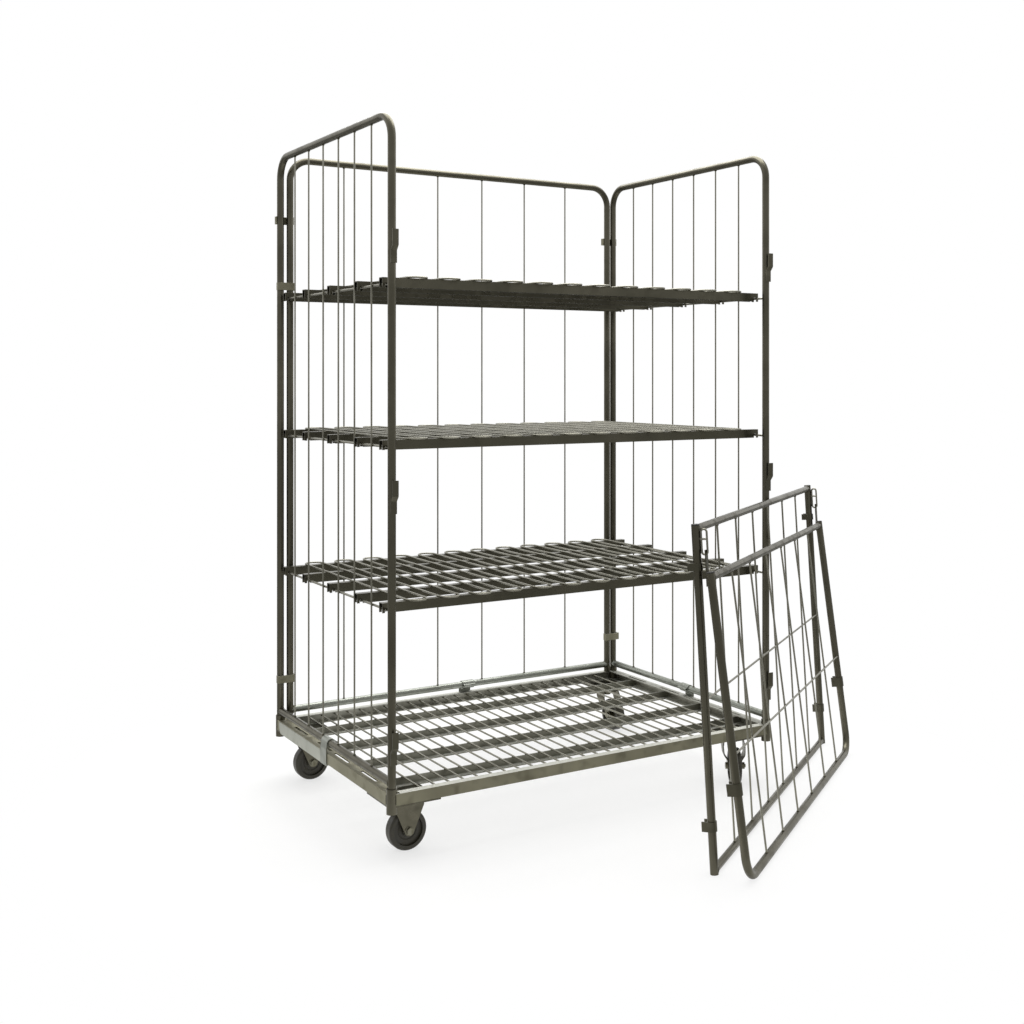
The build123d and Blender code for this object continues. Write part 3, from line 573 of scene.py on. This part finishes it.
@dataclass
class WeldedPanel:
    """Tube frame with upright wires, seen in its own axes: x along it, y through it and z up.

    Bars that butt the uprights get a weld round each end. Each wire gets one where it meets a bar, and a
    spot where a level wire crosses it. A point further through than the level wire reach, in radii of an
    upright wire, is on a level wire.
    """

    name: str
    body: str
    placement: Placement
    butted_bars: Sequence[tuple[float, float]]
    level_wires: str | None = None
    wire_gap: float = 20 * MM
    wire_end_slice: float = 0.5 * MM
    level_wire_reach: float = 1.02
    tube_radius: float = 10 * MM
    bar_weld: float = 1.9 * MM
    wire_weld: float = 1.7 * MM
    wire_weld_height: float = 2.0 * MM
    wire_weld_inset: float = 0.6 * MM
    spot: tuple[float, float, float] = (3.5 * MM, 1.7 * MM, 3.5 * MM)

    def own_points(self, piece: str) -> Array:
        """Points of one of the panel's nodes in its own axes."""
        return self.placement.own(points_of(f"{self.name}_{piece}"))

    def uprights(self) -> Array:
        """Places of the two uprights along the panel."""
        along = self.own_points("frame")[:, 0]
        return np.array([along.min() + self.tube_radius, along.max() - self.tube_radius])

    def depth(self) -> float:
        """Middle of the frame's tube through the panel."""
        through = self.own_points("frame")[:, 1]
        return float((through.min() + through.max()) / 2)

    def wire_ends(self) -> tuple[Array, float, float, float]:
        """Places of the wires along the panel, their low and high end, and their radius."""
        points = self.own_points("wires")
        low, high = points[:, 2].min(), points[:, 2].max()
        tops = points[points[:, 2] > high - self.wire_end_slice]
        places = centres(tops[:, 0], self.wire_gap)
        first = tops[np.abs(tops[:, 0] - places[0]) < self.wire_gap / 2, 0]
        return places, low, high, float(np.ptp(first) / 2)

    def bar_welds(self) -> list[Surface]:
        """Welds round both ends of each butted bar."""
        posts, depth = self.uprights(), self.depth()
        welds = []
        for z, radius in self.butted_bars:
            weld = saddle_weld(radius, self.tube_radius, self.bar_weld)
            turns = np.stack([np.eye(3), np.diag([-1.0, -1.0, 1.0])])
            places = np.stack([posts, np.full(2, depth), np.full(2, z)], axis=-1)
            welds.append(weld.copies(turns, places))
        return welds

    def wire_welds(self) -> list[Surface]:
        """Rings round both ends of each wire, and spots where level wires cross."""
        places, low, high, radius = self.wire_ends()
        depth = self.depth()
        collar = ring(radius, self.wire_weld, self.wire_weld_height, around=10)
        heights = np.repeat([low + self.wire_weld_inset, high - self.wire_weld_inset], len(places))
        ends = np.stack([np.tile(places, 2), np.full(2 * len(places), depth), heights], axis=-1)
        welds = [collar.copies(plain_turns(len(ends)), ends)]
        if self.level_wires:
            welds.append(self.crossings(places, depth, radius))
        return welds

    def crossings(self, places: Array, depth: float, radius: float) -> Surface:
        """Spots between each upright wire and each level wire.

        Args:
            places: Places of the upright wires along the panel.
            depth: Place of the upright wires through the panel.
            radius: Radius of the upright wires.

        Returns:
            All spots as one surface.
        """
        points = self.own_points(self.level_wires)
        if self.level_wires == "wires":
            points = points[np.abs(points[:, 1] - depth) > self.level_wire_reach * radius]
        levels = centres(points[:, 2], self.wire_gap)
        through = (points[:, 1].min() + points[:, 1].max()) / 2
        touch = depth + math.copysign(radius, through - depth)
        across, up = np.meshgrid(places, levels, indexing="ij")
        spots = np.stack([across.ravel(), np.full(across.size, touch), up.ravel()], axis=-1)
        return nugget(self.spot).copies(plain_turns(len(spots)), spots)

    def build(self, shop: Workshop) -> None:
        """Make the panel's welds, pressed flat where they would reach below the panel's lowest point."""
        welds = self.placement.carry(join(self.bar_welds() + self.wire_welds()))
        welds.points[:, 2] = np.maximum(welds.points[:, 2], span(f"{self.name}_frame")[0][2])
        shop.piece(f"{self.name}_welds", welds, Finish.WELD_METAL, self.body, "zinc_wire")


@dataclass
class Deck:
    """Spot welds between the deck's wires and bars, and the base's corner welds."""

    bar_count: int = 4
    web: float = 3 * MM
    flange: float = 20 * MM
    wire_gap: float = 15 * MM
    spot: tuple[float, float, float] = (4.3 * MM, 2.7 * MM, 1.9 * MM)
    spot_lift: float = 0.4 * MM
    corner_bead: float = 1.6 * MM
    corner_end_gap: float = 1.5 * MM
    corner_ripples: int = 9
    socket_radius: float = 13 * MM

    def spots(self) -> Surface:
        """Spots where each wire lies on each bar."""
        wires = points_of("deck_wires")
        x = centres(wires[:, 0], self.wire_gap)
        low, high = span("deck_bars")
        first, last = low[1] + self.flange - self.web / 2, high[1] - self.web / 2
        across, along = np.meshgrid(x, np.linspace(first, last, self.bar_count), indexing="ij")
        level = np.full(across.size, high[2] + self.spot_lift)
        places = np.stack([across.ravel(), along.ravel(), level], axis=-1)
        return nugget(self.spot).copies(plain_turns(len(places)), places)

    def corner_welds(self) -> Surface:
        """Upright beads where the front, back and side rails meet the corner sockets."""
        low, high = span("corner_sockets")
        left, right = span("left_rail")[0], span("right_rail")[1]
        front, back = span("front_rail"), span("back_rail")
        radius = self.socket_radius
        x_posts = np.array([low[0] + radius, high[0] - radius])
        y_posts = np.array([low[1] + radius, high[1] - radius])
        step = math.sqrt(radius ** 2 - (left[0] - x_posts[0]) ** 2)
        middle = (front[0][2] + front[1][2]) / 2
        places = [(x + inward * step, y, middle) for x, inward in zip(x_posts, (1, -1))
                  for y in (front[0][1], back[1][1])]
        places += [(x, y + inward * step, middle) for y, inward in zip(y_posts, (1, -1))
                   for x in (left[0], right[0])]
        length = front[1][2] - front[0][2] - 2 * self.corner_end_gap
        weld = bead(length, self.corner_bead, self.corner_ripples)
        return weld.copies(plain_turns(len(places)), np.array(places))

    def build(self, shop: Workshop) -> None:
        """Make the deck's and the corners' welds."""
        shop.piece("deck_welds", self.spots(), Finish.WELD_METAL, ROOT, "zinc_wire")
        shop.piece("corner_welds", self.corner_welds(), Finish.WELD_METAL, ROOT, "zinc_sheet")


@dataclass
class GateHooks:
    """Beads down both sides of the flat part of each hook on the front posts."""

    count: int = 3
    flat: float = 30 * MM
    height: float = 80 * MM
    width: float = 16 * MM
    radius: float = 2.0 * MM
    inset: float = 1.6 * MM
    end_gap: float = 3 * MM
    ripples: int = 8

    def build(self, shop: Workshop) -> None:
        """Make the hooks' welds."""
        low, high = span("gate_hooks")
        levels = np.linspace(low[2], high[2] - self.height, self.count) + self.flat / 2
        post_face = span("left_panel_frame")[0][1]
        edges = np.array([low[0], low[0] + self.width, high[0] - self.width, high[0]])
        across, up = np.meshgrid(edges + self.inset * np.array([1, -1, 1, -1]), levels, indexing="ij")
        places = np.stack([across.ravel(), np.full(across.size, post_face + self.inset), up.ravel()], axis=-1)
        weld = bead(self.flat - 2 * self.end_gap, self.radius, self.ripples)
        shop.piece("gate_hook_welds", weld.copies(plain_turns(len(places)), places), Finish.WELD_METAL, ROOT,
                   "zinc_sheet")


@dataclass
class Shelf:
    """Spot welds between one shelf's wire loops and its bars."""

    level: str
    loop_count: int = 12
    loop_width: float = 53 * MM
    wire_radius: float = 2.5 * MM
    bar_width: float = 20 * MM
    inner_bar: float = 182 * MM
    spot: tuple[float, float, float] = (4.0 * MM, 6.0 * MM, 1.5 * MM)

    def build(self, shop: Workshop) -> None:
        """Make the shelf's welds."""
        low, high = span(f"{self.level}_shelf_loops")
        bar_low, bar_high = span(f"{self.level}_shelf_bars")
        inset = self.loop_width / 2 + self.wire_radius
        middles = np.linspace(low[0] + inset, high[0] - inset, self.loop_count)
        x = np.concatenate([middles - self.loop_width / 2, middles + self.loop_width / 2])
        centre = (bar_low[1] + bar_high[1]) / 2
        outer = (bar_high[1] - bar_low[1] - self.bar_width) / 2
        y = centre + np.array([-outer, -self.inner_bar, 0, self.inner_bar, outer])
        across, along = np.meshgrid(x, y, indexing="ij")
        places = np.stack([across.ravel(), along.ravel(), np.full(across.size, bar_high[2])], axis=-1)
        welds = nugget(self.spot).copies(plain_turns(len(places)), places)
        shop.piece(f"{self.level}_shelf_welds", welds, Finish.WELD_METAL, f"{self.level}_shelf", "zinc_wire")


@dataclass
class CasterTrim:
    """Washers on one caster's axle, and the moulded rings round its wheel's hub."""

    corner: str
    carrier: str
    fork_half: float = 20 * MM
    washer_middle: float = 9.2 * MM
    washer_half: float = 2.0 * MM
    washer_thick: float = 0.8 * MM
    ring_middle: float = 24 * MM
    ring_half: float = 1.6 * MM
    ring_thick: float = 1.2 * MM
    web_half: float = 8 * MM

    def build(self, shop: Workshop) -> None:
        """Make the caster's washers and its wheel's moulded rings."""
        spin = joint(f"{self.corner}_wheel_spin")
        middle, axis = np.array(spin["pos_m"]), np.array(spin["axis"])
        turns = facing(np.stack([axis, axis]))
        sides = np.array([[-1.0], [1.0]])
        washers = ring(self.washer_middle, self.washer_half, self.washer_thick, around=32, across=8)
        shop.piece(f"{self.corner}_washers", washers.copies(turns, middle + sides * self.fork_half * axis),
                   Finish.FASTENER_STEEL, self.carrier, "fastener_steel")
        moulded = ring(self.ring_middle, self.ring_half, self.ring_thick, around=64, across=8)
        shop.piece(f"{self.corner}_wheel_rings", moulded.copies(turns, middle + sides * self.web_half * axis),
                   Finish.WHEEL_NYLON, f"{self.corner}_wheel", "wheel_nylon")


# The two loose gates

def gate_placement(name: str, most_lean: float = math.radians(20), cuts: int = 40) -> Placement:
    """Placement of a loose gate, worked out from the frame.

    The heading is the one that its lift joint moves along. The lean is the tilt at which the frame is
    thinnest, found by cutting the range to a share of itself again and again.

    Args:
        name: Name of the gate.
        most_lean: Largest lean that is looked at.
        cuts: Number of cuts.

    Returns:
        The placement.
    """
    axis = joint(f"{name}_lift")["axis"]
    heading = math.atan2(axis[0], -axis[1])
    points = points_of(f"{name}_frame")

    def thickness(lean: float) -> float:
        """Depth of the frame through the panel at a lean."""
        return float(np.ptp(Placement.headed(heading, lean).own(points)[:, 1]))

    low, high = 0.0, most_lean
    share = (math.sqrt(5) - 1) / 2
    for _ in range(cuts):
        first, second = high - share * (high - low), low + share * (high - low)
        if thickness(first) < thickness(second):
            high = second
        else:
            low = first
    return Placement.headed(heading, (low + high) / 2)


def upright_panel(name: str, heading: float, level_wires: str | None) -> WeldedPanel:
    """Side or back panel, whose bottom crossbar butts its posts."""
    low, high = span(f"{name}_crossbar")
    radius = (high[2] - low[2]) / 2
    crossbar = ((low[2] + high[2]) / 2, radius)
    return WeldedPanel(name, ROOT, Placement.headed(heading, 0.0), [crossbar], level_wires)


def gate_panel(name: str, rail_radius: float, rail_drop: float, low_rail: bool) -> WeldedPanel:
    """Loose gate, whose rails butt its uprights.

    Args:
        name: Name of the gate.
        rail_radius: Outside radius of its rails.
        rail_drop: Distance from the gate's top down to the top rail's middle.
        low_rail: Whether the bottom rail is a separate tube.

    Returns:
        The gate as a welded panel.
    """
    placement = gate_placement(name)
    top = placement.own(points_of(f"{name}_caps"))[:, 2].max()
    bottom = placement.own(points_of(f"{name}_frame"))[:, 2].min()
    bars = [(top - rail_drop, rail_radius)] + ([(bottom + rail_radius, rail_radius)] if low_rail else [])
    return WeldedPanel(name, name, placement, bars, "wires")


# Studio

@dataclass(frozen=True)
class Studio:
    """Pale floor, soft light from above and behind, and the photograph's camera."""

    eye: tuple[float, float, float] = (-1.852586, -3.151736, 1.1620)
    yaw_degrees: float = 31.4398
    focal_pixels: float = 1267.856
    image_pixels: float = 1024.0
    axis_column: float = 543.513
    horizon_row: float = 375.495
    sensor_mm: float = 36.0
    floor_radius: float = 30.0
    floor_corners: int = 64
    floor_near: str = "#f2f2f0"
    floor_far: str = "#a5a5a3"
    floor_white: float = 0.68
    fade_start: float = 0.55
    fade_end: float = 1.4
    lamp_place: tuple[float, float, float] = (0.4, 0.6, 3.4)
    lamp_size: float = 3.0
    lamp_power: float = 110.0
    aim_height: float = 0.8
    backdrop_rise_degrees: float = 28.6
    backdrop_edge: float = 0.4
    mirrored_front: float = 0.57
    soft_front: float = 0.52

    def centre(self) -> Array:
        """Middle of the container's base on the floor, between its rails' outer faces."""
        left, right = span("left_rail")[0], span("right_rail")[1]
        front, back = span("front_rail")[0], span("back_rail")[1]
        return np.array([(left[0] + right[0]) / 2, (front[1] + back[1]) / 2, 0.0])

    def camera(self) -> None:
        """Camera at the photograph's viewing angle, with the shift of its framing."""
        data = bpy.data.cameras.new("photo_camera")
        data.sensor_width = self.sensor_mm
        data.lens = self.sensor_mm * self.focal_pixels / self.image_pixels
        data.shift_x = (self.image_pixels / 2 - self.axis_column) / self.image_pixels
        data.shift_y = (self.horizon_row - self.image_pixels / 2) / self.image_pixels
        item = bpy.data.objects.new("photo_camera", data)
        item.location = self.centre() + np.array(self.eye)
        item.rotation_euler = (math.pi / 2, 0.0, -math.radians(self.yaw_degrees))
        bpy.context.scene.collection.objects.link(item)
        bpy.context.scene.camera = item

    def seen_share(self, tree: bpy.types.NodeTree, mirrored_share: float) -> bpy.types.NodeSocket:
        """How white the backdrop is to a ray.

        Args:
            tree: Node tree of the floor or of the world.
            mirrored_share: Share of white for mirrored rays.

        Returns:
            Socket with 1 for rays from the camera or through glass, the share for mirrored rays, else 0.
        """
        path = add(tree, "ShaderNodeLightPath")
        shown = add(tree, "ShaderNodeMath", {"operation": "MAXIMUM"}, i0=path.outputs["Is Camera Ray"],
                    i1=path.outputs["Is Transmission Ray"])
        mirrored = add(tree, "ShaderNodeMath", {"operation": "MULTIPLY"}, i0=path.outputs["Is Glossy Ray"],
                       i1=mirrored_share)
        return add(tree, "ShaderNodeMath", {"operation": "MAXIMUM"}, i0=shown.outputs[0],
                   i1=mirrored.outputs[0]).outputs[0]

    def floor(self) -> None:
        """Pale floor with a light shadow near the container; further out white to see, dim to mirror."""
        rim = np.linspace(0, math.tau, self.floor_corners, endpoint=False)
        points = np.stack([np.cos(rim), np.sin(rim), np.zeros_like(rim)], axis=-1) * self.floor_radius
        mesh = bpy.data.meshes.new("floor")
        mesh.from_pydata(points.tolist(), [], [list(range(self.floor_corners))])
        material, tree = blank_material("pale_floor")
        where = add(tree, "ShaderNodeTexCoord").outputs["Object"]
        away = add(tree, "ShaderNodeVectorMath", {"operation": "DISTANCE"}, i0=where, i1=tuple(self.centre()))
        fade = add(tree, "ShaderNodeMapRange", {"interpolation_type": "SMOOTHSTEP"},
                   Value=away.outputs["Value"], From_Min=self.fade_start, From_Max=self.fade_end)
        shown = self.seen_share(tree, 0.0)
        unseen = add(tree, "ShaderNodeMath", {"operation": "SUBTRACT"}, i0=1.0, i1=shown)
        dim = add(tree, "ShaderNodeMath", {"operation": "MULTIPLY"}, i0=fade.outputs[0], i1=unseen.outputs[0])
        ground = add(tree, "ShaderNodeMix", {"data_type": "RGBA"}, i0=dim.outputs[0],
                     i6=linear(self.floor_near), i7=linear(self.floor_far))
        close = add(tree, "ShaderNodeMath", {"operation": "MULTIPLY"}, i0=self.seen_share(tree, 1.0),
                    i1=self.floor_white)
        white = add(tree, "ShaderNodeMix", i0=fade.outputs[0], i2=close.outputs[0], i3=shown)
        near = add(tree, "ShaderNodeBsdfDiffuse", Color=ground.outputs[2])
        far = add(tree, "ShaderNodeEmission", Color=linear("#ffffff"), Strength=1.0)
        mix = add(tree, "ShaderNodeMixShader", i0=white.outputs[0], i1=near.outputs[0], i2=far.outputs[0])
        add(tree, "ShaderNodeOutputMaterial", Surface=mix.outputs[0])
        mesh.materials.append(material)
        item = bpy.data.objects.new("floor", mesh)
        bpy.context.scene.collection.objects.link(item)

    def world(self) -> None:
        """White backdrop where it is seen; for other light, white behind and above, dim in front."""
        world = bpy.data.worlds.new("studio")
        world.use_nodes = True
        tree = world.node_tree
        tree.nodes.clear()
        yaw, rise = math.radians(self.yaw_degrees), math.radians(self.backdrop_rise_degrees)
        behind = (math.cos(rise) * math.sin(yaw), math.cos(rise) * math.cos(yaw), math.sin(rise))
        where = add(tree, "ShaderNodeTexCoord").outputs["Generated"]
        share = add(tree, "ShaderNodeVectorMath", {"operation": "DOT_PRODUCT"}, i0=where, i1=behind)
        front = add(tree, "ShaderNodeMath", {"operation": "MAXIMUM"},
                    i0=self.seen_share(tree, self.mirrored_front), i1=self.soft_front)
        strength = add(tree, "ShaderNodeMapRange", {"interpolation_type": "SMOOTHSTEP"},
                       Value=share.outputs["Value"], From_Min=-self.backdrop_edge,
                       From_Max=self.backdrop_edge, To_Min=front.outputs[0], To_Max=1.0)
        light = add(tree, "ShaderNodeBackground", Color=linear("#ffffff"), Strength=strength.outputs[0])
        add(tree, "ShaderNodeOutputWorld", Surface=light.outputs[0])
        bpy.context.scene.world = world

    def lamp(self) -> None:
        """One broad soft lamp above and a little behind the container."""
        data = bpy.data.lights.new("overhead", "AREA")
        data.size = self.lamp_size
        data.energy = self.lamp_power
        item = bpy.data.objects.new("overhead", data)
        item.location = self.centre() + np.array(self.lamp_place)
        aim = Vector(self.centre() + np.array([0.0, 0.0, self.aim_height]))
        item.rotation_euler = (aim - item.location).to_track_quat("-Z", "Y").to_euler()
        bpy.context.scene.collection.objects.link(item)

    def build(self) -> None:
        """Set up camera, floor, world and lamp."""
        bpy.context.scene.view_settings.view_transform = "Standard"
        self.camera()
        self.floor()
        self.world()
        self.lamp()
        LOG.info("studio ready")


def main() -> None:
    """Dress the nodes, make the welds and fittings, and set up the studio."""
    logging.basicConfig(level=logging.INFO, format="%(message)s")
    shop = Workshop()
    shop.dress_by_record()
    upright_panel("left_panel", math.pi / 2, "rungs").build(shop)
    upright_panel("right_panel", math.pi / 2, "rungs").build(shop)
    upright_panel("back_panel", 0.0, None).build(shop)
    gate_panel("tall_gate", rail_radius=9 * MM, rail_drop=11 * MM, low_rail=True).build(shop)
    gate_panel("short_gate", rail_radius=9 * MM, rail_drop=13 * MM, low_rail=False).build(shop)
    Deck().build(shop)
    GateHooks().build(shop)
    for level in ("lower", "middle", "upper"):
        Shelf(level).build(shop)
    for corner in ("front_left", "back_left"):
        CasterTrim(corner, ROOT).build(shop)
    for corner in ("front_right", "back_right"):
        CasterTrim(corner, f"{corner}_swivel").build(shop)
    Studio().build()


if __name__ == "__main__":
    main()
